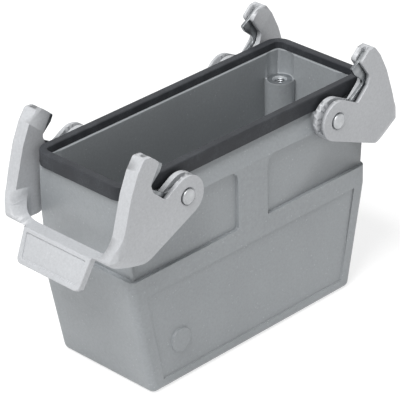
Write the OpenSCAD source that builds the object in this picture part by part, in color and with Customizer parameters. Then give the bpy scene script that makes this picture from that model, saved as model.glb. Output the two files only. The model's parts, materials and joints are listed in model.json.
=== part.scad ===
// Coupling housing of a heavy duty rectangular connector: a deep die-cast housing with
// an open rim, a rim gasket and two locking levers that swing on pivot pins.
// Frame: origin at the centre of the cable entry in the underside, +X along the length,
// -Y the front long side, +Z up through the open rim. All sizes are in millimetres.

/* [Housing] */
// Length over the two end faces, above the sloping part
body_l = 116; // [113:0.5:120]
// Width over the two long sides
body_w = 45.8; // [45:0.2:50]
// How far each end face leans in at the underside
end_lean = 7.8; // [4:0.2:11]
// Height at which the end faces turn upright
crease_z = 40; // [36:0.5:44]
// Height of the ledge under the lever pockets
ledge_z = 47.2; // [45:0.2:50]
// Radius of the upright corners and of the bottom edge
corner_r = 2.6; // [1.5:0.1:4]
// Wall of the neck under the gasket
wall = 2.4; // [2:0.1:2.8]
// Thickness of the floor
floor_t = 4; // [3:0.5:6]
// Depth of the shallow panel on each long side
panel_t = 0.5; // [0.3:0.1:0.8]
// Radius of the round pad on the front panel
pad_r = 4.5; // [3:0.1:6]
// How far the round pad stands out of its panel
pad_t = 0.9; // [0.3:0.1:1.2]

/* [Rim and gasket] */
// Length of the neck inside the gasket
neck_l = 117; // [115:0.5:121]
// Width of the neck inside the gasket
neck_w = 40.9; // [40:0.1:42]
// Height from the underside to the top of the gasket
rim_z = 82.9; // [81:0.1:88]
// Thickness of the gasket's outer skirt
skirt_t = 1.4; // [1.2:0.1:1.6]
// Height of the gasket's outer skirt
skirt_h = 5.5; // [4.5:0.1:6.2]
// Width of the gasket's top face
gasket_w = 3.1; // [2.8:0.1:3.4]
// Height of the gasket's inner lip
lip_h = 2.9; // [2.4:0.1:3.4]
// Thickness of the gasket over the rim
gasket_top = 1.3; // [1:0.1:1.6]
// Outer corner radius of the gasket
gasket_r = 6; // [5:0.5:8]

/* [Lever pockets] */
// Width of the rib between the two pockets on each long side
rib_w = 14.4; // [10:0.2:20]
// Depth of the pockets
pocket_t = 1.3; // [0.8:0.1:1.8]
// Height of the pockets above their ledge
pocket_h = 22.6; // [18:0.2:23]
// Radius of the pockets' upper inner corners
pocket_r = 4; // [3:0.5:9]

/* [Insert fixing] */
// Distance between the insert screws along the length
screw_x = 104; // [100:0.5:105]
// Distance between the insert screws across the width
screw_y = 27; // [26:0.5:28]
// Radius of the tapped holes
screw_r = 2; // [1.5:0.1:2.2]
// Radius of the corner columns
column_r = 5.5; // [5:0.1:6]
// Depth of the column tops under the top of the gasket
seat_depth = 12.1; // [10:0.1:14]
// Depth of the tapped holes
screw_depth = 11; // [8:0.5:15]
// Radius of the relief in the wall above each column
relief_r = 5; // [4.6:0.1:5.2]

/* [Cable entry] */
// Radius of the threaded cable entry
entry_r = 16; // [12:0.5:16]
// Length of the entry thread
entry_l = 12; // [9:0.5:16]

/* [Levers] */
// Distance of each pivot from the end of the gasket
pivot_in = 23.1; // [22:0.1:24]
// Depth of the pivots under the top of the gasket
pivot_depth = 8.9; // [8.8:0.1:9.6]
// Radius of the pivot pins
pin_r = 2.8; // [2.5:0.1:3.3]
// Radial clearance between a lever and its pins
pin_gap = 0.08; // [0.05:0.01:0.1]
// How far the pins stand out of the levers
pin_proud = 0.6; // [0.2:0.1:0.8]
// Clearance between the housing and the levers' arms
arm_gap = 0.4; // [0.3:0.05:0.6]
// Thickness of the inner plate of an arm
plate_in = 2; // [1.6:0.1:2.4]
// Thickness of the outer plate of an arm
plate_out = 1.6; // [1.4:0.1:2]
// Thickness of the walls that close the arm's channel
web_t = 2.1; // [1.6:0.1:2.4]
// Radius of the ear round the pivot
ear_r = 7.4; // [7:0.1:8]
// Height of the horn above the pivot
horn_h = 21.2; // [20.5:0.1:24]
// Reach of the yoke out from the pivot
reach = 34; // [33:0.1:36]
// Drop of the yoke's underside below the pivot
drop = 16.9; // [16.5:0.1:18]
// Outer corner radius of the yoke, seen from above
yoke_r = 6.5; // [3:0.5:8]
// Outer corner radius of the yoke, seen from the end
heel_r = 8; // [6:0.5:10]
// Length of the handle plate
handle_l = 12.8; // [10:0.1:16]
// Width of the handle plate at its root
handle_w = 32.6; // [24:0.2:35]
// Thickness of the handle plate
handle_t = 2.6; // [2:0.1:3.2]
// Outward lean of the handle plate in degrees
handle_lean = 26.5; // [15:0.5:35]
// Resting angle of the left lever in degrees, more is nearer to closed
left_angle = 0; // [-10:1:40]
// Resting angle of the right lever in degrees, more is nearer to closed
right_angle = 2; // [-10:1:40]

/* [Locking leaves] */
// Thickness of a steel leaf
leaf_t = 1.3; // [1.1:0.1:1.6]
// Clearance on each side of a leaf in its channel
leaf_gap = 0.2; // [0.2:0.05:0.3]
// How far the nose of a leaf stands out of the horn
nose_out = 3.1; // [1.5:0.1:3.5]

/* [Hidden] */
$fn = 48;
eps = 0.01;

// Gasket and rim, from the outside in
rim_l = neck_l + 2 * skirt_t;
rim_w = neck_w + 2 * skirt_t;
skirt_z = rim_z - skirt_h;
lip_z = rim_z - lip_h;
tongue_z = rim_z - gasket_top;
mouth_l = rim_l - 2 * gasket_w;
mouth_w = rim_w - 2 * gasket_w;
lip_t = 0.7;
// Inner faces of the walls, which run down from the lip
well_l = neck_l - 2 * wall;
well_w = neck_w - 2 * wall;
// Neck and pockets
pocket_top = ledge_z + pocket_h;
pocket_l = body_l - 2 * pocket_t - 1;
pocket_w = body_w - 2 * pocket_t;
seat_z = rim_z - seat_depth;
foot_l = body_l - 2 * end_lean;
// Levers
pivot_x = rim_l / 2 - pivot_in;
pivot_z = rim_z - pivot_depth;
arm_in = max(body_w, rim_w) / 2 + arm_gap;
slot_t = leaf_t + 2 * leaf_gap;
arm_t = plate_in + slot_t + plate_out;
arm_out = arm_in + arm_t;
bore_r = pin_r + pin_gap;
// Crossbar of the yoke
bar_in = reach - 6;
bar_top = 2.4 - drop;
handle_at = [reach - 1, bar_top + 0.6];

// Rectangle with round corners, centred
module round_rect(l, w, r) {
    square([l, w - 2 * r], center = true);
    square([l - 2 * r, w], center = true);
    for (x = [-1, 1], y = [-1, 1])
        translate([x * (l / 2 - r), y * (w / 2 - r)]) circle(r);
}

// Rounds each corner [x, y, r] of an outline with its own radius
function arc_at(a, b, c, r) =
    let (
        u = [a[0] - b[0], a[1] - b[1]] / norm([a[0] - b[0], a[1] - b[1]]),
        v = [c[0] - b[0], c[1] - b[1]] / norm([c[0] - b[0], c[1] - b[1]]),
        half = acos(max(-1, min(1, u * v))) / 2,
        bis = (u + v) / norm(u + v),
        mid = [b[0], b[1]] + bis * r / sin(half),
        p = [b[0], b[1]] + u * r / tan(half),
        q = [b[0], b[1]] + v * r / tan(half),
        a0 = atan2(p[1] - mid[1], p[0] - mid[0]),
        a1 = atan2(q[1] - mid[1], q[0] - mid[0]),
        turn = a1 - a0 > 180 ? a1 - a0 - 360 : (a1 - a0 < -180 ? a1 - a0 + 360 : a1 - a0),
        n = max(2, ceil(abs(turn) / 12))
    )
    [for (i = [0:n]) mid + r * [cos(a0 + turn * i / n), sin(a0 + turn * i / n)]];

function round_path(p) =
    [for (i = [0:len(p) - 1])
        let (a = p[(i + len(p) - 1) % len(p)], b = p[i], c = p[(i + 1) % len(p)])
        each (b[2] > 0 ? arc_at(a, b, c, b[2]) : [[b[0], b[1]]])];

// Point where a line from p touches a circle of radius r about the origin
function touch(p, r, side) =
    let (t = atan2(p[1], p[0]) + side * acos(r / norm(p)))
    [r * cos(t), r * sin(t), 0];

// Extrudes an outline drawn in the X-Z plane towards +Y, from y0 to y1
module along_y(y0, y1) {
    translate([0, y1, 0]) rotate([90, 0, 0]) linear_extrude(y1 - y0) children();
}

// ---- housing ----

// Ball for a bottom corner, with its lowest point a full radius down
module corner_ball() {
    rotate_extrude($fn = 32) intersection() {
        circle(corner_r, $fn = 32);
        translate([0, -corner_r]) square([corner_r, 2 * corner_r]);
    }
}

// Lower part with rounded bottom edge and ends that lean in to the underside
module lower_block() {
    x0 = foot_l / 2 - corner_r;
    x1 = body_l / 2 - corner_r;
    y = body_w / 2 - corner_r;
    hull() {
        for (i = [-1, 1], j = [-1, 1]) {
            translate([i * x0, j * y, corner_r]) corner_ball();
            translate([i * x1, j * y, crease_z])
                cylinder(r = corner_r, h = ledge_z - crease_z, $fn = 32);
        }
    }
}

// Neck from the ledge to the gasket, slightly wider at the rim
module neck_block() {
    neck_r = gasket_r - skirt_t;
    // Height at which the slopes end, just under the gasket's skirt
    slope_z = skirt_z - 0.4;
    intersection() {
        translate([0, 0, ledge_z - 2]) linear_extrude(skirt_z - ledge_z + 2)
            round_rect(max(neck_l, body_l), body_w, neck_r);
        along_y(-body_w, body_w)
            polygon([[-pocket_l / 2, ledge_z - 2], [pocket_l / 2, ledge_z - 2],
                [neck_l / 2, slope_z], [neck_l / 2, skirt_z],
                [-neck_l / 2, skirt_z], [-neck_l / 2, slope_z]]);
        rotate([90, 0, 90]) linear_extrude(2 * body_l, center = true)
            polygon([[-body_w / 2, ledge_z - 2], [body_w / 2, ledge_z - 2],
                [body_w / 2, pocket_top], [neck_w / 2, slope_z], [neck_w / 2, skirt_z],
                [-neck_w / 2, skirt_z], [-neck_w / 2, slope_z], [-body_w / 2, pocket_top]]);
    }
    translate([0, 0, skirt_z - eps]) linear_extrude(lip_z - skirt_z + eps)
        round_rect(neck_l, neck_w, neck_r);
    rim_tongue();
}

// Thin tongue of the rim that the gasket straddles
module rim_tongue() {
    translate([0, 0, lip_z - eps]) linear_extrude(tongue_z - lip_z + eps) difference() {
        round_rect(neck_l, neck_w, gasket_r - skirt_t);
        round_rect(mouth_l + 2 * lip_t, mouth_w + 2 * lip_t, 2);
    }
}

// Lever pockets: shallow recesses on both long sides, open to the ends
module pockets() {
    x0 = rib_w / 2;
    x1 = neck_l;
    for (s = [-1, 1], e = [-1, 1])
        scale([e, s, 1]) along_y(pocket_w / 2, body_w / 2 + 1)
            polygon(round_path([[x0, ledge_z, 0.8], [x1, ledge_z, 0], [x1, pocket_top, 0],
                [x0, pocket_top, pocket_r]]));
}

// Solid shape of the housing before it is hollowed
module outer_form() {
    lower_block();
    difference() {
        neck_block();
        pockets();
    }
}

// Round bosses that carry the pivot pins, trimmed under the gasket skirt
module pivot_bosses() {
    intersection() {
        for (x = [-1, 1])
            translate([x * pivot_x, body_w / 2, pivot_z]) rotate([90, 0, 0])
                cylinder(r = ear_r - 0.9, h = body_w);
        translate([-neck_l, -body_w, 0]) cube([2 * neck_l, 2 * body_w, skirt_z - 0.1]);
    }
}

// Inner space, from the floor to the lip of the gasket
module well() {
    along_y(-well_w / 2, well_w / 2)
        polygon([[-foot_l / 2 + 3.2, floor_t], [foot_l / 2 - 3.2, floor_t],
            [body_l / 2 - 5, crease_z], [well_l / 2, lip_z],
            [well_l / 2, rim_z + 1], [-well_l / 2, rim_z + 1],
            [-well_l / 2, lip_z], [-body_l / 2 + 5, crease_z]]);
}

// Corner columns that carry the insert, cut to the slope of the ends
module columns() {
    intersection() {
        for (x = [-1, 1], y = [-1, 1])
            translate([x * screw_x / 2, y * screw_y / 2, floor_t - 1])
                cylinder(r = column_r, h = seat_z - floor_t + 1);
        along_y(-body_w, body_w)
            polygon([[-foot_l / 2 + 2, 1], [foot_l / 2 - 2, 1],
                [body_l / 2 - 2, crease_z], [body_l / 2 - 2, rim_z],
                [-body_l / 2 + 2, rim_z], [-body_l / 2 + 2, crease_z]]);
    }
}

// Tapped holes with their countersinks, and the reliefs above the columns
module insert_cuts() {
    for (x = [-1, 1], y = [-1, 1]) translate([x * screw_x / 2, y * screw_y / 2, 0]) {
        translate([0, 0, seat_z - screw_depth]) cylinder(r = screw_r, h = screw_depth + 1);
        translate([0, 0, seat_z - 0.6]) cylinder(r1 = screw_r, r2 = screw_r + 0.62, h = 0.62);
        translate([0, 0, seat_z]) cylinder(r = relief_r, h = lip_z - seat_z);
    }
}

// Shallow panels on the long sides, slanted like the ends
module panels() {
    side = 6.2;
    low = 4.4;
    high = crease_z - 0.3;
    lean = end_lean * (high - low) / crease_z;
    x1 = body_l / 2 - side;
    x0 = x1 - lean;
    for (s = [-1, 1])
        scale([1, s, 1]) along_y(body_w / 2 - panel_t, body_w / 2 + 1)
            polygon([[-x0, low], [x0, low], [x1, high], [-x1, high]]);
}

module hood_shell() {
    color([0.60, 0.62, 0.64])
    difference() {
        union() {
            difference() {
                union() {
                    outer_form();
                    pivot_bosses();
                }
                well();
                panels();
            }
            columns();
            cylinder(r = well_w / 2 + 1, h = entry_l);
            // Round pad on the front panel
            translate([-0.312 * body_l, -body_w / 2 + panel_t + 0.5, 16.3])
                rotate([90, 0, 0]) cylinder(r = pad_r, h = pad_t + 0.5);
        }
        insert_cuts();
        translate([0, 0, -1]) cylinder(r = entry_r, h = entry_l + 2);
        for (x = [-1, 1], s = [-1, 1]) scale([1, s, 1])
            translate([x * pivot_x, body_w / 2 + 1, pivot_z]) rotate([90, 0, 0])
                cylinder(r = pin_r, h = body_w / 2 + 1 - pin_root());
    }
}

// ---- gasket ----

module rim_gasket() {
    color([0.13, 0.13, 0.14])
    difference() {
        translate([0, 0, skirt_z]) linear_extrude(skirt_h) round_rect(rim_l, rim_w, gasket_r);
        // Opening through the gasket
        translate([0, 0, skirt_z - 1]) linear_extrude(skirt_h + 2)
            round_rect(mouth_l, mouth_w, 2);
        // Room for the neck and for the tongue
        translate([0, 0, skirt_z - 1]) linear_extrude(lip_z - skirt_z + 1)
            round_rect(neck_l, neck_w, gasket_r - skirt_t);
        translate([0, 0, lip_z - 1]) linear_extrude(tongue_z - lip_z + 1) difference() {
            round_rect(neck_l, neck_w, gasket_r - skirt_t);
            round_rect(mouth_l + 2 * lip_t, mouth_w + 2 * lip_t, 2);
        }
    }
}

// ---- pivot pins ----

// Distance of a pin's inner end from the middle plane
function pin_root() = well_w / 2 + 1;

module pivot_pin(sx, sy) {
    color([0.66, 0.67, 0.68])
    translate([sx * pivot_x, 0, pivot_z]) scale([1, sy, 1]) rotate([-90, 0, 0]) {
        tip = arm_out + pin_proud;
        edge = 0.3;
        translate([0, 0, pin_root()]) cylinder(r = pin_r, h = tip - edge - pin_root());
        translate([0, 0, tip - edge]) cylinder(r1 = pin_r, r2 = pin_r - edge, h = edge);
    }
}

// ---- levers, drawn with the pivot at the origin and the yoke reaching out to +X ----

// Lowest corner of an arm, where its straight underside meets the yoke
function heel_point() = [reach - 14, -drop - 0.4];

// Side outline of an arm, with its ear, horn and peg notch
module arm_outline() {
    low = heel_point();
    lip = [10.2, 2.8];
    circle(ear_r, $fn = 96);
    polygon(round_path(concat(
        [touch(low, ear_r, -1), concat(low, 4)],
        [[reach - 4.2, -drop, 4], [reach - 0.4, 3.4 - drop, 2.5], [reach - 1.8, -9, 4],
        [reach - 4.4, -4.4, 6], [reach - 5.7, 0.2, 12], [reach - 8.5, 10, 10],
        [reach - 11.6, horn_h - 4.3, 6], [reach - 14.6, horn_h - 0.1, 1.2],
        [reach - 17.8, horn_h - 0.4, 1],
        [12.4, horn_h - 3.6, 1.2], [16.7, 10.8, 2.2], [15.6, 7.5, 2.2]],
        [concat(lip, 0.8), touch(lip, ear_r, 1)])));
}

// Region that the channel of an arm takes up inside the outline
module channel_outline() {
    low = heel_point();
    foot = [touch(low, ear_r, -1)[0], touch(low, ear_r, -1)[1]];
    base = foot * (ear_r - web_t) / ear_r;
    dir = (low - foot) / norm(low - foot);
    polygon(round_path([concat(base - 2 * ear_r * dir, 0),
        concat(base + (norm(low - foot) - web_t - 1) * dir, 3),
        [reach - 9.6, -8, 3], [reach - 9.2, 4, 6], [reach - 11.2 - web_t * 0.4, 10, 6],
        [reach - 14.2 - web_t * 0.4, horn_h - 4.4, 3],
        [reach - 15.4 - web_t * 0.4, horn_h + 2, 0],
        [-14, horn_h + 2, 0]]));
}

// Plan outline of the yoke with its round outer corners
module yoke_plan() {
    translate([reach / 2 - 20, 0]) round_rect(reach + 40, 2 * arm_out, yoke_r);
}

// Material outside the round lower corners, seen from the end; it runs up as it runs out
module heel_cut() {
    rise = 30;
    translate([reach - 3, 0, 0.3 - drop]) rotate([0, -rise, 0]) rotate([90, 0, 90])
        linear_extrude(2 * reach, center = true) difference() {
            translate([arm_out - heel_r, -2]) square(heel_r + 2);
            translate([arm_out - heel_r, heel_r]) circle(heel_r);
        }
}

// Window between the arms, above and behind the crossbar
module yoke_window() {
    r = 8.5;
    // Above the crossbar, with round lower corners
    rotate([90, 0, 90]) translate([0, 0, -20]) linear_extrude(reach + 30)
        polygon(round_path([[-arm_in, bar_top, r], [arm_in, bar_top, r],
            [arm_in, horn_h + 5, 0], [-arm_in, horn_h + 5, 0]]));
    // Behind the crossbar
    translate([0, 0, -drop - 5]) linear_extrude(drop + 10)
        polygon(round_path([[-20, -arm_in, 0], [bar_in, -arm_in, 5],
            [bar_in, arm_in, 5], [-20, arm_in, 0]]));
}

// Outline of the handle plate: straight root, slightly narrower end, round lower corners
module handle_outline(margin, root, corner) {
    w0 = handle_w / 2 - margin;
    w1 = w0 - 0.1 * handle_l;
    polygon(round_path([[-w0, -root, 0], [-w1, margin - handle_l, corner],
        [w1, margin - handle_l, corner], [w0, -root, 0]]));
}

module handle_plate() {
    translate([handle_at[0], 0, handle_at[1]]) rotate([0, -handle_lean, 0]) difference() {
        translate([-handle_t, 0, 0]) rotate([90, 0, 90])
            linear_extrude(handle_t) handle_outline(0, 0, 2.2);
        // Shallow recess in the outer face, below a band along the root
        translate([-0.6, 0, 0]) rotate([90, 0, 90]) linear_extrude(2)
            handle_outline(2, 2, 0.6);
    }
}

module yoke() {
    difference() {
        union() {
            intersection() {
                along_y(-arm_out, arm_out) arm_outline();
                translate([0, 0, -drop - 5]) linear_extrude(drop + horn_h + 10) yoke_plan();
            }
            handle_plate();
        }
        yoke_window();
        for (s = [-1, 1]) scale([1, s, 1]) {
            heel_cut();
            along_y(arm_in + plate_in, arm_in + plate_in + slot_t) channel_outline();
            translate([0, arm_in - 1, 0]) rotate([-90, 0, 0])
                cylinder(r = bore_r, h = arm_t + 2);
            // Countersink round the pin's head
            translate([0, arm_out - 0.5, 0]) rotate([-90, 0, 0])
                cylinder(r1 = bore_r, r2 = bore_r + 0.6, h = 0.6);
        }
    }
}

// Places a lever part at its pivot: side -1 is the left end, +1 the right end
module at_pivot(side) {
    turn = side < 0 ? left_angle : right_angle;
    scale([side, 1, 1]) translate([pivot_x, 0, pivot_z]) rotate([0, -turn, 0]) children();
}

module lever_left() {
    color([0.80, 0.80, 0.80]) at_pivot(-1) yoke();
}

module lever_right() {
    color([0.80, 0.80, 0.80]) at_pivot(1) yoke();
}

// ---- locking leaves ----

// Outline of a leaf: eye round the pin, body in the channel, nose and peg seat
module leaf_outline() {
    eye_r = ear_r - web_t - 0.3;
    tip = 12.5 - nose_out;
    circle(eye_r, $fn = 96);
    polygon(round_path([touch([reach - 17.6, -9.4], eye_r, -1),
        [reach - 17.6, -9.4, 3], [reach - 11.2, -4, 4], [reach - 11, 4, 8],
        [reach - 12.8 - web_t * 0.4, 10, 8], [reach - 15.6 - web_t * 0.4, horn_h - 4.2, 3],
        [reach - 17.2 - web_t * 0.1, horn_h - 1.1, 0.6], [12.6, horn_h - 4.2, 0.6],
        [tip, horn_h - 5.8, 0.7], [tip + 1.3, horn_h - 8.2, 0.7], [15.9, 8.3, 1.5],
        [13.4, 7.0, 0.5], [8.6, 4.1, 1.5], touch([8.6, 4.1], eye_r, 1)]));
}

module leaf(side, s) {
    y0 = arm_in + plate_in + leaf_gap;
    color([0.78, 0.79, 0.80]) at_pivot(side) scale([1, s, 1]) difference() {
        along_y(y0, y0 + leaf_t) leaf_outline();
        translate([0, y0 - 1, 0]) rotate([-90, 0, 0]) cylinder(r = bore_r, h = leaf_t + 2);
    }
}

hood_shell();
rim_gasket();
pivot_pin(-1, -1);  // pivot_pin_left_front
pivot_pin(-1, 1);  // pivot_pin_left_back
pivot_pin(1, -1);  // pivot_pin_right_front
pivot_pin(1, 1);  // pivot_pin_right_back
lever_left();
lever_right();
leaf(-1, -1);  // latch_leaf_left_front
leaf(-1, 1);  // latch_leaf_left_back
leaf(1, -1);  // latch_leaf_right_front
leaf(1, 1);  // latch_leaf_right_back
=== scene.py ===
"""Deep coupling housing of a heavy duty rectangular connector, dressed for view.

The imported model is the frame. Each of its nodes is shown by a finished copy: the edges of
the castings are rounded as a die leaves them, the gasket's edges as its mould leaves them,
the pins are turned, the holes are threaded, and the screw seats are milled. Lengths named
in the classes are millimetres, and everything in the scene is in metres.
"""

import sys
import json
import logging
import math
from dataclasses import dataclass, field
from enum import Enum
from typing import Any

import bmesh
import bpy
from mathutils import Matrix, Vector
from mathutils.bvhtree import BVHTree
from mathutils.kdtree import KDTree


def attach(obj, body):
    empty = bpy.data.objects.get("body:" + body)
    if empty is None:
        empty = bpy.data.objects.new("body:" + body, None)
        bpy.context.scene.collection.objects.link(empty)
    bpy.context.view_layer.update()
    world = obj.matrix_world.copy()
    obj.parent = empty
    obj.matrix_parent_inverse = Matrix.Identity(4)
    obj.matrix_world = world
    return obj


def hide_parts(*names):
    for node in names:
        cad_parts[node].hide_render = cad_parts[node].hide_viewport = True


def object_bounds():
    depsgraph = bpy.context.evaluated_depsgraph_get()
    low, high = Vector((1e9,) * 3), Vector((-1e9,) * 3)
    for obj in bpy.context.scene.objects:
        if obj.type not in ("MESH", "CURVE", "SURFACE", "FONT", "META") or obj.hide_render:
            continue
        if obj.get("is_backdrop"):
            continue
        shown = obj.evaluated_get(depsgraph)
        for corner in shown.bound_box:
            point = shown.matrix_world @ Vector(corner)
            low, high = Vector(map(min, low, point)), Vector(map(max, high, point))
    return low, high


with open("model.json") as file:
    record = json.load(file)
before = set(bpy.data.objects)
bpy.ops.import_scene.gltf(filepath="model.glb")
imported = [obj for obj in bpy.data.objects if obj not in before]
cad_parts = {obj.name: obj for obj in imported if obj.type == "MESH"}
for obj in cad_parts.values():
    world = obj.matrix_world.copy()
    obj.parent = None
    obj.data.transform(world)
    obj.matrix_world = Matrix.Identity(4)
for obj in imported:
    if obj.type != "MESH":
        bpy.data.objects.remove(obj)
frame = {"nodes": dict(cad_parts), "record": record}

log = logging.getLogger("housing")

MM = 0.001
Key = str | int


# ---- sides, bodies and slots ----


class Side(Enum):
    """End of the housing that a lever stands at, with its sign along the length."""

    LEFT = -1
    RIGHT = 1

    @property
    def word(self) -> str:
        """Lower-case word used in the names of nodes."""
        return self.name.lower()

    @property
    def body(self) -> str:
        """Body that the lever of this side moves with."""
        return f"{self.word}_locking_lever"


class Flank(Enum):
    """Long side of the housing, with its sign across the width."""

    FRONT = -1
    BACK = 1

    @property
    def word(self) -> str:
        """Lower-case word used in the names of nodes."""
        return self.name.lower()


class Slot(Enum):
    """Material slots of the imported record."""

    HOUSING = "housing_paint"
    LEVER = "lever_paint"
    GASKET = "gasket_rubber"
    STEEL = "steel"


HOOD = "hood"


# ---- shader and geometry trees ----


def srgb(code: str) -> tuple[float, float, float, float]:
    """Turns an sRGB hex colour into linear RGBA.

    Args:
        code: Six hex digits, with or without a leading sign.

    Returns:
        Linear red, green, blue and an alpha of one.
    """
    digits = code.lstrip("#")
    parts = [int(digits[i : i + 2], 16) / 255 for i in (0, 2, 4)]
    linear = [c / 12.92 if c <= 0.04045 else ((c + 0.055) / 1.055) ** 2.4 for c in parts]
    return (linear[0], linear[1], linear[2], 1.0)


def add(
    tree: bpy.types.NodeTree,
    kind: str,
    props: dict[str, Any] | None = None,
    inputs: dict[Key, Any] | None = None,
) -> bpy.types.Node:
    """Adds a node, sets its properties, and fills or links its inputs.

    Args:
        tree: Tree that the node goes into.
        kind: Blender's identifier of the node.
        props: Properties of the node by name.
        inputs: Values or sockets by input name or index. A socket is linked.

    Returns:
        The new node.
    """
    node = tree.nodes.new(kind)
    for name, value in (props or {}).items():
        setattr(node, name, value)
    for key, value in (inputs or {}).items():
        socket = node.inputs[key]
        if isinstance(value, bpy.types.NodeSocket):
            tree.links.new(value, socket)
        else:
            socket.default_value = value
    return node


def ramp(node: bpy.types.Node, stops: list[tuple[float, float]]) -> bpy.types.NodeSocket:
    """Sets the stops of a colour ramp to greys.

    Args:
        node: Colour ramp node.
        stops: Place and grey level of each stop, in order.

    Returns:
        The ramp's colour output.
    """
    elements = node.color_ramp.elements
    while len(elements) < len(stops):
        elements.new(0.5)
    for element, (place, level) in zip(elements, stops):
        element.position = place
        element.color = (level, level, level, 1.0)
    return node.outputs["Color"]


def blank_material(name: str) -> tuple[bpy.types.Material, bpy.types.NodeTree]:
    """Makes a material whose tree is empty.

    Args:
        name: Name of the material.

    Returns:
        The material and its tree.
    """
    material = bpy.data.materials.new(name)
    material.use_nodes = True
    material.node_tree.nodes.clear()
    return material, material.node_tree


def per_size(size: float) -> float:
    """Texture scale that gives features of a size in millimetres on Object coordinates."""
    return 1.0 / (size * MM)


# ---- finishes ----


@dataclass(frozen=True)
class CastPaint:
    """Powder coat baked on an aluminium die casting.

    The coat is a thin polyester film over a cast skin. It gives a satin, slightly mottled
    grey with a fine peel. Its rounded edges are painted paler in patches: a painted
    highlight, and partly coat worn thin there.
    """

    name: str
    colour: str
    fleck: str
    # Pale colour of the rounded edges: a painted highlight, and partly worn coat
    edge: str
    roughness: float = 0.42
    # The peel of a coat this thin is about 0.5 mm across; it is drawn at 0.9 mm to show
    peel: float = 0.9
    peel_depth: float = 0.034
    # The cast skin below it shows as soft flow marks about 4 mm across
    skin: float = 4.0
    skin_depth: float = 0.06
    # The coat's tone drifts over about 26 mm, and its pale flecks lie 1.4 mm apart
    drift: float = 26.0
    fleck_gap: float = 1.4
    # Share of the pale edge colour on rounded edges, a painted highlight and partly worn coat,
    # and what it does to gloss
    highlight_and_wear: float = 0.8
    polish: float = -0.12

    def build(self) -> bpy.types.Material:
        """Builds the material.

        Returns:
            The finished material.
        """
        material, tree = blank_material(self.name)
        place = add(tree, "ShaderNodeTexCoord").outputs["Object"]
        peel = add(tree, "ShaderNodeTexNoise", inputs={
            "Vector": place, "Scale": per_size(self.peel), "Detail": 2.0, "Roughness": 0.6})
        skin = add(tree, "ShaderNodeTexNoise", inputs={
            "Vector": place, "Scale": per_size(self.skin), "Detail": 4.0, "Roughness": 0.55})
        cloud = add(tree, "ShaderNodeTexNoise", inputs={
            "Vector": place, "Scale": per_size(self.drift), "Detail": 2.0})
        flecks = add(tree, "ShaderNodeTexVoronoi", inputs={
            "Vector": place, "Scale": per_size(self.fleck_gap), "Randomness": 1.0})
        specks = ramp(add(tree, "ShaderNodeValToRGB", inputs={
            "Fac": flecks.outputs["Distance"]}), [(0.10, 1.0), (0.24, 0.0)])
        chance = ramp(add(tree, "ShaderNodeValToRGB", inputs={
            "Fac": skin.outputs["Fac"]}), [(0.50, 0.0), (0.66, 1.0)])
        speck_mask = add(tree, "ShaderNodeMath", {"operation": "MULTIPLY"}, {
            0: specks, 1: chance})
        mottled = add(tree, "ShaderNodeMix", {"data_type": "RGBA"}, {
            0: speck_mask.outputs[0], 6: srgb(self.colour), 7: srgb(self.fleck)})
        tone = add(tree, "ShaderNodeMapRange", inputs={
            "Value": cloud.outputs["Fac"], "From Min": 0.3, "From Max": 0.7,
            "To Min": 0.965, "To Max": 1.035})
        grain = add(tree, "ShaderNodeMapRange", inputs={
            "Value": peel.outputs["Fac"], "From Min": 0.25, "From Max": 0.75,
            "To Min": 0.925, "To Max": 1.075})
        level = add(tree, "ShaderNodeMath", {"operation": "MULTIPLY"}, {
            0: tone.outputs[0], 1: grain.outputs[0]})
        shaded = add(tree, "ShaderNodeVectorMath", {"operation": "SCALE"}, {
            0: mottled.outputs[2], "Scale": level.outputs[0]})
        # Rounded edges are painted paler in patches, a painted highlight and partly worn coat,
        # and they polish there
        edge = add(tree, "ShaderNodeAttribute", {"attribute_name": EDGE})
        patches = ramp(add(tree, "ShaderNodeValToRGB", inputs={
            "Fac": skin.outputs["Fac"]}), [(0.36, 0.25), (0.62, 1.0)])
        highlit_and_worn = add(tree, "ShaderNodeMath", {"operation": "MULTIPLY"}, {
            0: edge.outputs["Fac"], 1: patches})
        share = add(tree, "ShaderNodeMath", {"operation": "MULTIPLY"}, {
            0: highlit_and_worn.outputs[0], 1: self.highlight_and_wear})
        colour = add(tree, "ShaderNodeMix", {"data_type": "RGBA"}, {
            0: share.outputs[0], 6: shaded.outputs[0], 7: srgb(self.edge)})
        gloss = add(tree, "ShaderNodeMapRange", inputs={
            "Value": skin.outputs["Fac"], "From Min": 0.3, "From Max": 0.7,
            "To Min": self.roughness - 0.05, "To Max": self.roughness + 0.07})
        polish = add(tree, "ShaderNodeMath", {"operation": "MULTIPLY_ADD"}, {
            0: share.outputs[0], 1: self.polish, 2: gloss.outputs[0]})
        soft = add(tree, "ShaderNodeBump", inputs={
            "Height": skin.outputs["Fac"], "Distance": self.skin_depth * MM, "Strength": 1.0})
        fine = add(tree, "ShaderNodeBump", inputs={
            "Height": peel.outputs["Fac"], "Distance": self.peel_depth * MM,
            "Strength": 1.0, "Normal": soft.outputs[0]})
        shader = add(tree, "ShaderNodeBsdfPrincipled", inputs={
            "Base Color": colour.outputs[2], "Roughness": polish.outputs[0],
            "Normal": fine.outputs[0], "IOR": 1.5})
        add(tree, "ShaderNodeOutputMaterial", inputs={"Surface": shader.outputs[0]})
        return material


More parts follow.
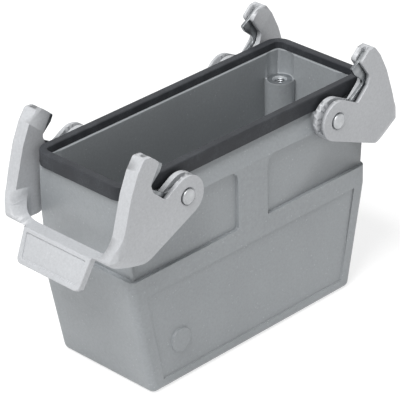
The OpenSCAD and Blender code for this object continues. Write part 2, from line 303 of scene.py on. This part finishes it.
@dataclass(frozen=True)
class NitrileRubber:
    """Compression-moulded nitrile rubber with carbon black.

    It comes out of the mould matt and near black. Talc and dust sit on it in faint grey
    patches, and the flat of the mould leaves a fine sanded grain.
    """

    name: str
    colour: str
    dust: str
    roughness: float = 0.62
    # The mould's grain is 0.2 mm; it is drawn at 0.6 mm to show
    grain: float = 0.6
    grain_depth: float = 0.02
    patch: float = 9.0

    def build(self) -> bpy.types.Material:
        """Builds the material.

        Returns:
            The finished material.
        """
        material, tree = blank_material(self.name)
        place = add(tree, "ShaderNodeTexCoord").outputs["Object"]
        grain = add(tree, "ShaderNodeTexNoise", inputs={
            "Vector": place, "Scale": per_size(self.grain), "Detail": 2.0})
        patch = add(tree, "ShaderNodeTexNoise", inputs={
            "Vector": place, "Scale": per_size(self.patch), "Detail": 5.0, "Roughness": 0.62})
        dusty = ramp(add(tree, "ShaderNodeValToRGB", inputs={
            "Fac": patch.outputs["Fac"]}), [(0.42, 0.05), (0.72, 0.75)])
        specks = ramp(add(tree, "ShaderNodeValToRGB", inputs={
            "Fac": grain.outputs["Fac"]}), [(0.35, 0.35), (0.75, 1.0)])
        share = add(tree, "ShaderNodeMath", {"operation": "MULTIPLY"}, {
            0: dusty, 1: specks})
        colour = add(tree, "ShaderNodeMix", {"data_type": "RGBA"}, {
            0: share.outputs[0], 6: srgb(self.colour), 7: srgb(self.dust)})
        gloss = add(tree, "ShaderNodeMapRange", inputs={
            "Value": patch.outputs["Fac"], "From Min": 0.3, "From Max": 0.7,
            "To Min": self.roughness - 0.08, "To Max": self.roughness + 0.10})
        relief = add(tree, "ShaderNodeBump", inputs={
            "Height": grain.outputs["Fac"], "Distance": self.grain_depth * MM,
            "Strength": 1.0})
        shader = add(tree, "ShaderNodeBsdfPrincipled", inputs={
            "Base Color": colour.outputs[2], "Roughness": gloss.outputs[0],
            "Normal": relief.outputs[0], "IOR": 1.5, "Specular IOR Level": 0.3})
        add(tree, "ShaderNodeOutputMaterial", inputs={"Surface": shader.outputs[0]})
        return material


class Grain(Enum):
    """Direction of the working marks on a steel piece, as a stretch of the pattern."""

    ALONG_X = (0.08, 1.0, 1.0)
    TURNED = (1.0, 0.12, 1.0)


@dataclass(frozen=True)
class BrightSteel:
    """Zinc-plated mild steel, punched or turned before plating.

    The working marks of the tool stay under the plating as fine parallel lines, and the
    plating varies a little in tone and gloss.
    """

    name: str
    colour: str
    shade: str
    grain: Grain
    roughness: float = 0.34
    # Tool marks lie about 0.1 mm apart; they are drawn at 0.5 mm to show
    mark: float = 0.5
    mark_depth: float = 0.012
    cloud: float = 3.0

    def build(self) -> bpy.types.Material:
        """Builds the material.

        Returns:
            The finished material.
        """
        material, tree = blank_material(self.name)
        place = add(tree, "ShaderNodeTexCoord").outputs["Object"]
        along = add(tree, "ShaderNodeMapping", inputs={
            "Vector": place, "Scale": self.grain.value})
        marks = add(tree, "ShaderNodeTexNoise", inputs={
            "Vector": along.outputs[0], "Scale": per_size(self.mark), "Detail": 2.0})
        cloud = add(tree, "ShaderNodeTexNoise", inputs={
            "Vector": place, "Scale": per_size(self.cloud), "Detail": 4.0})
        tone = ramp(add(tree, "ShaderNodeValToRGB", inputs={
            "Fac": cloud.outputs["Fac"]}), [(0.35, 0.0), (0.68, 1.0)])
        colour = add(tree, "ShaderNodeMix", {"data_type": "RGBA"}, {
            0: tone, 6: srgb(self.colour), 7: srgb(self.shade)})
        gloss = add(tree, "ShaderNodeMapRange", inputs={
            "Value": marks.outputs["Fac"], "From Min": 0.3, "From Max": 0.7,
            "To Min": self.roughness - 0.07, "To Max": self.roughness + 0.10})
        relief = add(tree, "ShaderNodeBump", inputs={
            "Height": marks.outputs["Fac"], "Distance": self.mark_depth * MM,
            "Strength": 1.0})
        shader = add(tree, "ShaderNodeBsdfPrincipled", inputs={
            "Base Color": colour.outputs[2], "Roughness": gloss.outputs[0],
            "Normal": relief.outputs[0], "Metallic": 1.0})
        add(tree, "ShaderNodeOutputMaterial", inputs={"Surface": shader.outputs[0]})
        return material


@dataclass(frozen=True)
class PaleSweep:
    """Matt white paper of a studio floor, which keeps the shadow of what stands on it."""

    name: str
    colour: str = "#F4F4F4"
    # What the camera sees: a grey that takes the shadow, and a glow that brings it to white
    shaded: str = "#AFAFAF"
    glow: float = 0.74

    def build(self) -> bpy.types.Material:
        """Builds the material.

        Returns:
            The finished material.
        """
        material, tree = blank_material(self.name)
        path = add(tree, "ShaderNodeLightPath")
        seen = shown_rays(tree, path)
        fibre = add(tree, "ShaderNodeTexNoise", inputs={
            "Vector": add(tree, "ShaderNodeTexCoord").outputs["Object"],
            "Scale": per_size(2.0), "Detail": 2.0})
        tone = add(tree, "ShaderNodeMapRange", inputs={
            "Value": fibre.outputs["Fac"], "To Min": 0.97, "To Max": 1.0})
        colour = add(tree, "ShaderNodeVectorMath", {"operation": "SCALE"}, {
            0: srgb(self.colour)[:3], "Scale": tone.outputs[0]})
        paper = add(tree, "ShaderNodeBsdfDiffuse", inputs={"Color": colour.outputs[0]})
        thin = add(tree, "ShaderNodeBsdfDiffuse", inputs={"Color": srgb(self.shaded)})
        glow = add(tree, "ShaderNodeEmission", inputs={"Strength": self.glow})
        bright = add(tree, "ShaderNodeAddShader", inputs={
            0: thin.outputs[0], 1: glow.outputs[0]})
        mixed = add(tree, "ShaderNodeMixShader", inputs={
            0: seen, 1: paper.outputs[0], 2: bright.outputs[0]})
        add(tree, "ShaderNodeOutputMaterial", inputs={"Surface": mixed.outputs[0]})
        return material


def shown_rays(tree: bpy.types.NodeTree, path: bpy.types.Node) -> bpy.types.NodeSocket:
    """Adds up the rays that show a background: camera, glossy and transmission.

    Args:
        tree: Tree of the material or world.
        path: Its Light Path node.

    Returns:
        A socket that is one for such a ray.
    """
    first = add(tree, "ShaderNodeMath", {"operation": "MAXIMUM"}, {
        0: path.outputs["Is Camera Ray"], 1: path.outputs["Is Glossy Ray"]})
    both = add(tree, "ShaderNodeMath", {"operation": "MAXIMUM"}, {
        0: first.outputs[0], 1: path.outputs["Is Transmission Ray"]})
    return both.outputs[0]


# ---- making meshes ----

# Attribute of the rounded edges, which the coats paint paler as a painted highlight and partly
# as wear
EDGE = "edge_highlight_and_wear"


def finished(
    obj: bpy.types.Object, name: str, material: bpy.types.Material
) -> bpy.types.Object:
    """Turns an object with modifiers into a plain one at the origin.

    Args:
        obj: Object with its modifiers, which is removed.
        name: Name of the finished object.
        material: Material of all its faces.

    Returns:
        The finished object.
    """
    bpy.context.view_layer.update()
    graph = bpy.context.evaluated_depsgraph_get()
    mesh = bpy.data.meshes.new_from_object(obj.evaluated_get(graph))
    mesh.transform(obj.matrix_world)
    bpy.data.objects.remove(obj)
    mesh.name = name
    mesh.materials.clear()
    mesh.materials.append(material)
    made = bpy.data.objects.new(name, mesh)
    bpy.context.scene.collection.objects.link(made)
    return made


def fit_out(
    obj: bpy.types.Object, body: str, nodes: tuple[str, ...] = ()
) -> bpy.types.Object:
    """Hangs a finished piece on its body and hides the nodes that it stands for.

    Args:
        obj: Finished piece.
        body: Body of the frame that it moves with.
        nodes: Nodes of the frame that it replaces.

    Returns:
        The same piece.
    """
    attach(obj, body)
    if nodes:
        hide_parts(*nodes)
    count = sum(len(p.vertices) - 2 for p in obj.data.polygons)
    log.info("%s: %d triangles on %s", obj.name, count, body)
    return obj


@dataclass
class EdgeRounding:
    """Rounding of the sharp edges of a copied node, in millimetres and degrees.

    Edges that run on in one line share one width, which narrows where their faces are
    narrow. A line whose rounding folds over or leaves the surface has its width halved,
    and at last set to nothing, until no line does.
    """

    width: float
    segments: int = 2
    # Edges sharper than this are rounded, and faces flatter than the other are merged
    sharp: float = 32.0
    flat: float = 0.3
    # Points closer than this in metres are one
    merge: float = 1e-6
    # A line of edges has its full width where its faces are this many widths wide
    room: float = 2.4
    # Rounds of looking for faults, and the share below which a faulty line is left sharp
    tries: int = 9
    least: float = 0.2
    # A face is faulty this many widths off the surface, or turned this far from it,
    # as the cosine. Faces of a smaller area in square metres aren't looked at.
    off: float = 0.6
    turned: float = 0.2
    speck: float = 1e-10

    def copy(self, node: str) -> bpy.types.Object:
        """Copies a node's mesh, merges it and rounds its edges.

        Args:
            node: Name of the node in the frame.

        Returns:
            A new object whose new faces carry the material index one.
        """
        mesh = bpy.data.meshes.new(f"{node}_copy")
        bm = bmesh.new()
        bm.from_mesh(frame["nodes"][node].data)
        bmesh.ops.remove_doubles(bm, verts=bm.verts, dist=self.merge)
        bmesh.ops.dissolve_limit(
            bm, angle_limit=math.radians(self.flat), verts=bm.verts, edges=bm.edges)
        for face in bm.faces:
            face.smooth = True
            face.material_index = 0
        weight = bm.edges.layers.float.new("bevel_weight_edge")
        lines = self.lines(bm)
        shares = [self.share(line) for line in lines]
        bmesh.ops.connect_verts_concave(bm, faces=bm.faces)
        bm.normal_update()
        obj = bpy.data.objects.new(f"{node}_copy", mesh)
        bpy.context.scene.collection.objects.link(obj)
        self.add_bevel(obj)
        tree, guide = BVHTree.FromBMesh(bm), guide_points(lines)
        for _ in range(self.tries):
            for line, share in zip(lines, shares):
                for edge in line:
                    edge[weight] = share
            bm.to_mesh(mesh)
            faulty = self.faulty_lines(obj, tree, guide)
            if not faulty:
                break
            for index in faulty:
                shares[index] = shares[index] / 2 if shares[index] > self.least else 0.0
        bm.free()
        return obj

    def add_bevel(self, obj: bpy.types.Object) -> None:
        """Adds the modifier that rounds the weighted edges.

        Args:
            obj: Copy of a node.
        """
        bevel = obj.modifiers.new("Rounding", "BEVEL")
        bevel.limit_method = "WEIGHT"
        bevel.offset_type = "OFFSET"
        bevel.width = self.width * MM
        bevel.segments = self.segments
        bevel.profile = 0.5
        bevel.use_clamp_overlap = False
        bevel.miter_outer = "MITER_SHARP"
        bevel.loop_slide = False
        bevel.material = 1

    def faulty_lines(
        self, obj: bpy.types.Object, tree: BVHTree, guide: tuple[KDTree, list[int]]
    ) -> set[int]:
        """Finds the lines whose rounding folds over or leaves the surface.

        Args:
            obj: Object with the rounding modifier.
            tree: The unrounded surface.
            guide: Points on the lines, with the line that each lies on.

        Returns:
            Indices of the faulty lines.
        """
        points, owner = guide
        graph = bpy.context.evaluated_depsgraph_get()
        obj.data.update()
        graph.update()
        mesh = bpy.data.meshes.new_from_object(obj.evaluated_get(graph))
        faulty = set()
        for face in mesh.polygons:
            _, normal, _, gap = tree.find_nearest(face.center)
            away = gap > self.off * self.width * MM
            if (away or face.normal.dot(normal) < self.turned) and face.area > self.speck:
                for _, index, _ in points.find_n(face.center, 3):
                    faulty.add(owner[index])
        bpy.data.meshes.remove(mesh)
        return faulty

    def lines(self, bm: bmesh.types.BMesh) -> list[list[bmesh.types.BMEdge]]:
        """Sorts the sharp edges into lines, each of which runs on without a corner.

        Args:
            bm: Merged mesh of a node.

        Returns:
            The edges of each line. One line has one width.
        """
        sharp = [
            e for e in bm.edges
            if len(e.link_faces) == 2 and e.calc_face_angle(0) > math.radians(self.sharp)
        ]
        chosen = set(sharp)
        lines, seen = [], set()
        for first in sharp:
            if first in seen:
                continue
            seen.add(first)
            line, ahead = [], [first]
            while ahead:
                edge = ahead.pop()
                line.append(edge)
                for vert in edge.verts:
                    for other in vert.link_edges:
                        if other in chosen and other not in seen and runs_on(edge, other, vert):
                            seen.add(other)
                            ahead.append(other)
            lines.append(line)
        return lines

    def share(self, line: list[bmesh.types.BMEdge]) -> float:
        """Share of the full width that fits beside a line of edges, from zero to one."""
        need = self.room * self.width * MM
        tightest = min(narrowness(face, edge) for edge in line for face in edge.link_faces)
        return max(0.0, min(1.0, tightest / need))


# Millimetres between guide points, and degrees within which an edge runs on as another
GUIDE_STEP = 0.5
RUN_ON = 40.0


def guide_points(lines: list[list[bmesh.types.BMEdge]]) -> tuple[KDTree, list[int]]:
    """Lays points along lines of edges.

    Args:
        lines: The edges of each line.

    Returns:
        A tree of the points, and the line that each point lies on.
    """
    spots, owner = [], []
    for index, line in enumerate(lines):
        for edge in line:
            a, b = edge.verts[0].co, edge.verts[1].co
            steps = max(1, round((b - a).length / (GUIDE_STEP * MM)))
            for step in range(steps + 1):
                spots.append(a.lerp(b, step / steps))
                owner.append(index)
    points = KDTree(len(spots))
    for number, spot in enumerate(spots):
        points.insert(spot, number)
    points.balance()
    return points, owner


def runs_on(
    edge: bmesh.types.BMEdge, other: bmesh.types.BMEdge, vert: bmesh.types.BMVert
) -> bool:
    """Whether two edges at a vertex continue each other."""
    a = (vert.co - edge.other_vert(vert).co).normalized()
    b = (other.other_vert(vert).co - vert.co).normalized()
    return a.dot(b) > math.cos(math.radians(RUN_ON))


def narrowness(face: bmesh.types.BMFace, edge: bmesh.types.BMEdge) -> float:
    """Width of a face measured straight away from one of its edges, in metres.

    Args:
        face: Face beside the edge.
        edge: Edge that the width is measured from.

    Returns:
        The width.
    """
    a, b = edge.verts[0].co, edge.verts[1].co
    along = (b - a).normalized()
    inward = face.normal.cross(along)
    return max(abs((v.co - a).dot(inward)) for v in face.verts)


# Degrees above which an edge is shaded sharp after its rounding
STAYS_SHARP = 50.0


def mark_edges(mesh: bpy.types.Mesh, smooth: float) -> None:
    """Turns the material index of rounded edges into an attribute, and shades the mesh.

    Args:
        mesh: Mesh of a copied node.
        smooth: Angle in degrees above which an edge stays sharp.
    """
    layer = mesh.attributes.new(EDGE, "FLOAT", "CORNER")
    values = [0.0] * len(mesh.loops)
    for face in mesh.polygons:
        if face.material_index == 1:
            for corner in face.loop_indices:
                values[corner] = 1.0
        face.material_index = 0
    layer.data.foreach_set("value", values)
    mesh.shade_smooth()
    mesh.set_sharp_from_angle(angle=math.radians(smooth))


def rounded_piece(
    node: str, name: str, rounding: EdgeRounding, material: bpy.types.Material
) -> bpy.types.Object:
    """Makes the finished copy of a node.

    Args:
        node: Node of the frame.
        name: Name of the piece.
        rounding: Rounding of its edges.
        material: Its material.

    Returns:
        The finished piece.
    """
    obj = rounding.copy(node)
    graph = bpy.context.evaluated_depsgraph_get()
    mesh = bpy.data.meshes.new_from_object(obj.evaluated_get(graph))
    bpy.data.objects.remove(obj)
    mark_edges(mesh, STAYS_SHARP)
    dressed = bpy.data.objects.new(f"{name}_shaded", mesh)
    bpy.context.scene.collection.objects.link(dressed)
    even = dressed.modifiers.new("Even", "WEIGHTED_NORMAL")
    even.keep_sharp = True
    even.weight = 60
    return finished(dressed, name, material)


def open_tree(
    name: str, sizes: dict[str, float]
) -> tuple[bpy.types.NodeTree, bpy.types.NodeOutputs]:
    """Starts a geometry tree with sizes, a foot and a material as its inputs.

    Args:
        name: Name of the tree.
        sizes: Value in metres of each size by name.

    Returns:
        The tree and the outputs of its input node.
    """
    group = bpy.data.node_groups.new(name, "GeometryNodeTree")
    face = group.interface
    for label, value in sizes.items():
        socket = face.new_socket(label, in_out="INPUT", socket_type="NodeSocketFloat")
        socket.default_value = value
    face.new_socket("Foot", in_out="INPUT", socket_type="NodeSocketVector")
    face.new_socket("Material", in_out="INPUT", socket_type="NodeSocketMaterial")
    face.new_socket("Geometry", in_out="OUTPUT", socket_type="NodeSocketGeometry")
    return group, add(group, "NodeGroupInput").outputs


def close_tree(
    group: bpy.types.NodeTree, given: bpy.types.NodeOutputs, made: bpy.types.NodeSocket
) -> None:
    """Ends a geometry tree: moves what was made to its foot and gives it its material.

    Args:
        group: The tree.
        given: Outputs of its input node.
        made: Socket of what was made.
    """
    placed = add(group, "GeometryNodeTransform", inputs={
        "Geometry": made, "Translation": given["Foot"]})
    real = add(group, "GeometryNodeRealizeInstances", inputs={"Geometry": placed.outputs[0]})
    dressed = add(group, "GeometryNodeSetMaterial", inputs={
        "Geometry": real.outputs[0], "Material": given["Material"]})
    add(group, "NodeGroupOutput", inputs={"Geometry": dressed.outputs[0]})


def grown(
    group: bpy.types.NodeTree, name: str, material: bpy.types.Material, values: dict[str, Any]
) -> bpy.types.Object:
    """Runs a geometry tree with its named inputs and keeps the result as a plain mesh.

    Args:
        group: Geometry tree.
        name: Name of the piece.
        material: Its material.
        values: Values of the tree's inputs by name.

    Returns:
        The finished piece.
    """
    seed = bpy.data.objects.new(f"{name}_seed", bpy.data.meshes.new(f"{name}_seed"))
    grow = seed.modifiers.new("Grow", "NODES")
    grow.node_group = group
    keys = {
        item.name: item.identifier
        for item in group.interface.items_tree
        if item.item_type == "SOCKET" and item.in_out == "INPUT"
    }
    for label, value in {**values, "Material": material}.items():
        grow[keys[label]] = value
    bpy.context.scene.collection.objects.link(seed)
    return finished(seed, name, material)


# ---- sub-assemblies ----


def mount_sizes(name: str) -> dict[str, float]:
    """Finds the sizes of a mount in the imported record.

    Args:
        name: Name of the mount.

    Returns:
        Its sizes in millimetres by name.
    """
    return next(m["dims"] for m in frame["record"]["mounts"] if m["name"] == name)


@dataclass
class Threads:
    """Cut threads of the cable entry and of the insert screws, in millimetres."""

    entry_r: float = field(default_factory=lambda: mount_sizes("cable_entry")["r_mm"])
    entry_pitch: float = 1.5
    entry_length: float = 10.2
    screw_r: float = field(default_factory=lambda: mount_sizes("insert_screws")["hole_r_mm"])
    screw_pitch: float = 0.7
    screw_length: float = 10.0
    # Depth that a ridge's foot is buried in the wall, round the entry and round a screw
    root: float = 0.12
    screw_root: float = 0.06
    # Turn of the section, in radians, that points its crest into the bore
    crest: float = math.pi

    def tree(self) -> bpy.types.NodeTree:
        """Builds the tree that winds a ridge round a bore.

        Returns:
            The tree, with the bore's radius, pitch, length and foot as inputs.
        """
        group, given = open_tree("Wound thread", {
            "Radius": self.entry_r * MM, "Pitch": self.entry_pitch * MM,
            "Length": self.entry_length * MM, "Root": self.root * MM})
        turns = add(group, "ShaderNodeMath", {"operation": "DIVIDE"}, {
            0: given["Length"], 1: given["Pitch"]})
        # The ridge is an equal-sided triangle; its centre lies a third of its height
        # from the wall, less the root that is buried in it
        size = add(group, "ShaderNodeMath", {"operation": "MULTIPLY"}, {
            0: given["Pitch"], 1: 0.46})
        inset = add(group, "ShaderNodeMath", {"operation": "MULTIPLY_ADD"}, {
            0: size.outputs[0], 1: -0.5, 2: given["Radius"]})
        centre = add(group, "ShaderNodeMath", {"operation": "ADD"}, {
            0: inset.outputs[0], 1: given["Root"]})
        path = add(group, "GeometryNodeCurveSpiral", inputs={
            "Resolution": 40, "Rotations": turns.outputs[0],
            "Start Radius": centre.outputs[0], "End Radius": centre.outputs[0],
            "Height": given["Length"]})
        upright = add(group, "GeometryNodeSetCurveNormal", {"mode": "Z_UP"}, {
            "Curve": path.outputs[0]})
        section = add(group, "GeometryNodeCurvePrimitiveCircle", inputs={
            "Resolution": 3, "Radius": size.outputs[0]})
        turned = add(group, "GeometryNodeTransform", inputs={
            "Geometry": section.outputs["Curve"], "Rotation": (0.0, 0.0, self.crest)})
        ridge = add(group, "GeometryNodeCurveToMesh", inputs={
            "Curve": upright.outputs[0], "Profile Curve": turned.outputs[0],
            "Fill Caps": True})
        close_tree(group, given, ridge.outputs[0])
        return group

    def screw_sizes(self) -> dict[str, float]:
        """Sizes of a screw's thread for the inputs of the tree, in metres."""
        return {
            "Radius": self.screw_r * MM, "Pitch": self.screw_pitch * MM,
            "Length": self.screw_length * MM, "Root": self.screw_root * MM}


@dataclass
class MilledSeats:
    """Bright rings that a cutter leaves round the insert screws, in millimetres."""

    inner_r: float = 2.75
    outer_r: float = 4.5
    height: float = 0.06

    def tree(self) -> bpy.types.NodeTree:
        """Builds the tree that sweeps a flat section round a circle.

        Returns:
            The tree, with the ring's middle radius, width, height and foot as inputs.
        """
        group, given = open_tree("Milled ring", {
            "Radius": (self.inner_r + self.outer_r) / 2 * MM,
            "Width": (self.outer_r - self.inner_r) * MM, "Height": self.height * MM})
        path = add(group, "GeometryNodeCurvePrimitiveCircle", inputs={
            "Resolution": 64, "Radius": given["Radius"]})
        section = add(group, "GeometryNodeCurvePrimitiveQuadrilateral", inputs={
            "Width": given["Width"], "Height": given["Height"]})
        ring = add(group, "GeometryNodeCurveToMesh", inputs={
            "Curve": path.outputs["Curve"], "Profile Curve": section.outputs[0]})
        flat = add(group, "GeometryNodeSetShadeSmooth", inputs={
            "Geometry": ring.outputs[0], "Shade Smooth": False})
        close_tree(group, given, flat.outputs[0])
        return group


@dataclass
class Housing:
    """Die-cast housing with its threads and milled seats, in millimetres."""

    edges: EdgeRounding = field(default_factory=lambda: EdgeRounding(width=0.45))
    threads: Threads = field(default_factory=Threads)
    seats: MilledSeats = field(default_factory=MilledSeats)
    # Height of the screw seats, and of the first turn of the cable entry's thread
    seat: float = 70.8
    entry_foot: float = 0.9
    # Countersink above the uppermost turn of a screw thread
    lead: float = 0.6

    def build(self, paint: bpy.types.Material, bare: bpy.types.Material) -> None:
        """Builds the casting, cuts its threads and mills its seats.

        Args:
            paint: Coat of the casting.
            bare: Cut metal of the threads and seats.
        """
        shell = rounded_piece("hood_shell", "cast_housing", self.edges, paint)
        fit_out(shell, HOOD, ("hood_shell",))
        winding, milling = self.threads.tree(), self.seats.tree()
        entry = grown(winding, "cable_entry_thread", bare, {
            "Foot": (0.0, 0.0, self.entry_foot * MM)})
        fit_out(entry, HOOD)
        screws = mount_sizes("insert_screws")
        for side in Side:
            for flank in Flank:
                x = side.value * screws["spacing_x_mm"] / 2 * MM
                y = flank.value * screws["spacing_y_mm"] / 2 * MM
                place = f"{side.word}_{flank.word}"
                thread = grown(winding, f"insert_thread_{place}", bare, {
                    **self.threads.screw_sizes(),
                    "Foot": (x, y, (self.seat - self.threads.screw_length - self.lead) * MM)})
                fit_out(thread, HOOD)
                ring = grown(milling, f"milled_seat_{place}", bare, {
                    "Foot": (x, y, self.seat * MM)})
                fit_out(ring, HOOD)


@dataclass
class RimGasket:
    """Moulded rubber gasket that straddles the rim, in millimetres."""

    edges: EdgeRounding = field(default_factory=lambda: EdgeRounding(width=0.5, segments=3))

    def build(self, rubber: bpy.types.Material) -> None:
        """Builds the gasket.

        Args:
            rubber: Its material.
        """
        piece = rounded_piece("rim_gasket", "moulded_gasket", self.edges, rubber)
        fit_out(piece, HOOD, ("rim_gasket",))


@dataclass
class PivotPins:
    """Turned steel pins of the levers, in millimetres."""

    edges: EdgeRounding = field(default_factory=lambda: EdgeRounding(width=0.2, sharp=25.0))

    def build(self, steel: bpy.types.Material) -> None:
        """Builds the four pins.

        Args:
            steel: Their material.
        """
        for side in Side:
            for flank in Flank:
                node = f"pivot_pin_{side.word}_{flank.word}"
                piece = rounded_piece(
                    node, f"turned_pin_{side.word}_{flank.word}", self.edges, steel)
                fit_out(piece, HOOD, (node,))


@dataclass
class LockingLever:
    """Cast locking lever with its two steel leaves, in millimetres."""

    side: Side
    edges: EdgeRounding = field(default_factory=lambda: EdgeRounding(width=0.4, segments=3))
    leaf_edges: EdgeRounding = field(default_factory=lambda: EdgeRounding(width=0.2))

    def build(self, paint: bpy.types.Material, steel: bpy.types.Material) -> None:
        """Builds the lever and its leaves.

        Args:
            paint: Coat of the lever.
            steel: Finish of the leaves.
        """
        word = self.side.word
        lever = rounded_piece(f"lever_{word}", f"cast_lever_{word}", self.edges, paint)
        fit_out(lever, self.side.body, (f"lever_{word}",))
        for flank in Flank:
            node = f"latch_leaf_{word}_{flank.word}"
            leaf = rounded_piece(
                node, f"punched_leaf_{word}_{flank.word}", self.leaf_edges, steel)
            fit_out(leaf, self.side.body, (node,))


# ---- studio ----


@dataclass
class Lamp:
    """Soft rectangular lamp, with its place and size in metres."""

    name: str
    place: tuple[float, float, float]
    size: tuple[float, float]
    power: float

    def hang(self, target: Vector) -> None:
        """Hangs the lamp and points it at the object.

        Args:
            target: Point that it faces.
        """
        light = bpy.data.lights.new(self.name, "AREA")
        light.shape = "RECTANGLE"
        light.size, light.size_y = self.size
        light.energy = self.power
        obj = bpy.data.objects.new(self.name, light)
        obj.location = self.place
        obj.rotation_euler = (target - obj.location).to_track_quat("-Z", "Y").to_euler()
        bpy.context.scene.collection.objects.link(obj)


@dataclass
class Studio:
    """Camera, lamps, world and floor. Places are in metres, and turns in degrees."""

    place: tuple[float, float, float] = (-0.575149, -0.576698, 0.493566)
    yaw: float = 44.77
    pitch: float = 28.72
    roll: float = -1.29
    lens: float = 240.034
    ambient: float = 0.34
    # Half the floor's side in metres, and its height in millimetres
    floor_half: float = 4.0
    floor_low: float = -0.05
    lamps: tuple[Lamp, ...] = (
        Lamp("Key", (-0.74, -0.16, 1.40), (0.8, 0.8), 24.0),
        Lamp("Fill", (0.1, -1.4, 0.5), (1.0, 0.8), 1.2),
    )

    def camera(self) -> None:
        """Sets up the camera and makes it the scene's own."""
        data = bpy.data.cameras.new("Camera")
        data.sensor_width = 36.0
        data.lens = self.lens
        data.clip_start, data.clip_end = 0.01, 50.0
        obj = bpy.data.objects.new("Camera", data)
        yaw, pitch, roll = (math.radians(a) for a in (self.yaw, self.pitch, self.roll))
        ahead = Vector((math.cos(pitch) * math.sin(yaw), math.cos(pitch) * math.cos(yaw),
                        -math.sin(pitch)))
        right = Vector((math.cos(yaw), -math.sin(yaw), 0.0))
        up = right.cross(ahead)
        c, s = math.cos(roll), math.sin(roll)
        x_axis, y_axis = c * right + s * up, -s * right + c * up
        turn = Matrix((x_axis, y_axis, -ahead)).transposed()
        obj.matrix_world = Matrix.Translation(self.place) @ turn.to_4x4()
        bpy.context.scene.collection.objects.link(obj)
        bpy.context.scene.camera = obj

    def world(self) -> None:
        """Sets an even surrounding light that the camera sees as white."""
        world = bpy.data.worlds.new("Surround")
        world.use_nodes = True
        tree = world.node_tree
        tree.nodes.clear()
        seen = shown_rays(tree, add(tree, "ShaderNodeLightPath"))
        soft = add(tree, "ShaderNodeBackground", inputs={
            "Color": srgb("#FFFFFF"), "Strength": self.ambient})
        white = add(tree, "ShaderNodeBackground", inputs={
            "Color": srgb("#FFFFFF"), "Strength": 1.0})
        mixed = add(tree, "ShaderNodeMixShader", inputs={
            0: seen, 1: soft.outputs[0], 2: white.outputs[0]})
        add(tree, "ShaderNodeOutputWorld", inputs={"Surface": mixed.outputs[0]})
        bpy.context.scene.world = world

    def floor(self) -> None:
        """Lays the floor just under the object."""
        mesh = bpy.data.meshes.new("floor")
        half, low = self.floor_half, self.floor_low * MM
        corners = [(-half, -half), (half, -half), (half, half), (-half, half)]
        mesh.from_pydata([(x, y, low) for x, y in corners], [], [(0, 1, 2, 3)])
        mesh.materials.append(PaleSweep("matt_white_paper").build())
        obj = bpy.data.objects.new("floor", mesh)
        bpy.context.scene.collection.objects.link(obj)
        obj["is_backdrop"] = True

    def build(self, low: Vector, high: Vector) -> None:
        """Builds the studio round the object.

        Args:
            low: Lowest corner of the object.
            high: Highest corner of the object.
        """
        self.camera()
        self.world()
        self.floor()
        for lamp in self.lamps:
            lamp.hang((low + high) / 2)
        bpy.context.scene.view_settings.view_transform = "Standard"


def main() -> None:
    """Builds the studio and every sub-assembly in order."""
    logging.basicConfig(level=logging.INFO, format="%(name)s: %(message)s", stream=sys.stdout)
    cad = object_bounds()
    Studio().build(*cad)
    # The last colour of each coat is its pale edge colour: a painted highlight, and partly worn
    # coat
    housing_coat = CastPaint("powder_coated_casting", "#989C9F", "#B4B7B9", "#DADCDD").build()
    lever_coat = CastPaint(
        "powder_coated_lever", "#B9BBBE", "#C4C6C9", "#DADBDC",
        roughness=0.38, peel_depth=0.008, skin_depth=0.018).build()
    cut_metal = BrightSteel("cut_aluminium", "#B9BCBF", "#A4A7AA", Grain.TURNED, 0.38).build()
    # The leaves carry the pins' zinc plating drawn darker: painted shade that holds down their
    # bright reflections in the lever's slot
    punched = BrightSteel("zinc_plated_leaf", "#96999B", "#74777A", Grain.ALONG_X).build()
    turned = BrightSteel("zinc_plated_pin", "#BDBFC1", "#A5A7A9", Grain.TURNED, 0.4).build()
    rubber = NitrileRubber("moulded_nitrile_rubber", "#2D2F33", "#54575B").build()
    Housing().build(housing_coat, cut_metal)
    RimGasket().build(rubber)
    PivotPins().build(turned)
    for side in Side:
        LockingLever(side).build(lever_coat, punched)


if __name__ == "__main__":
    main()
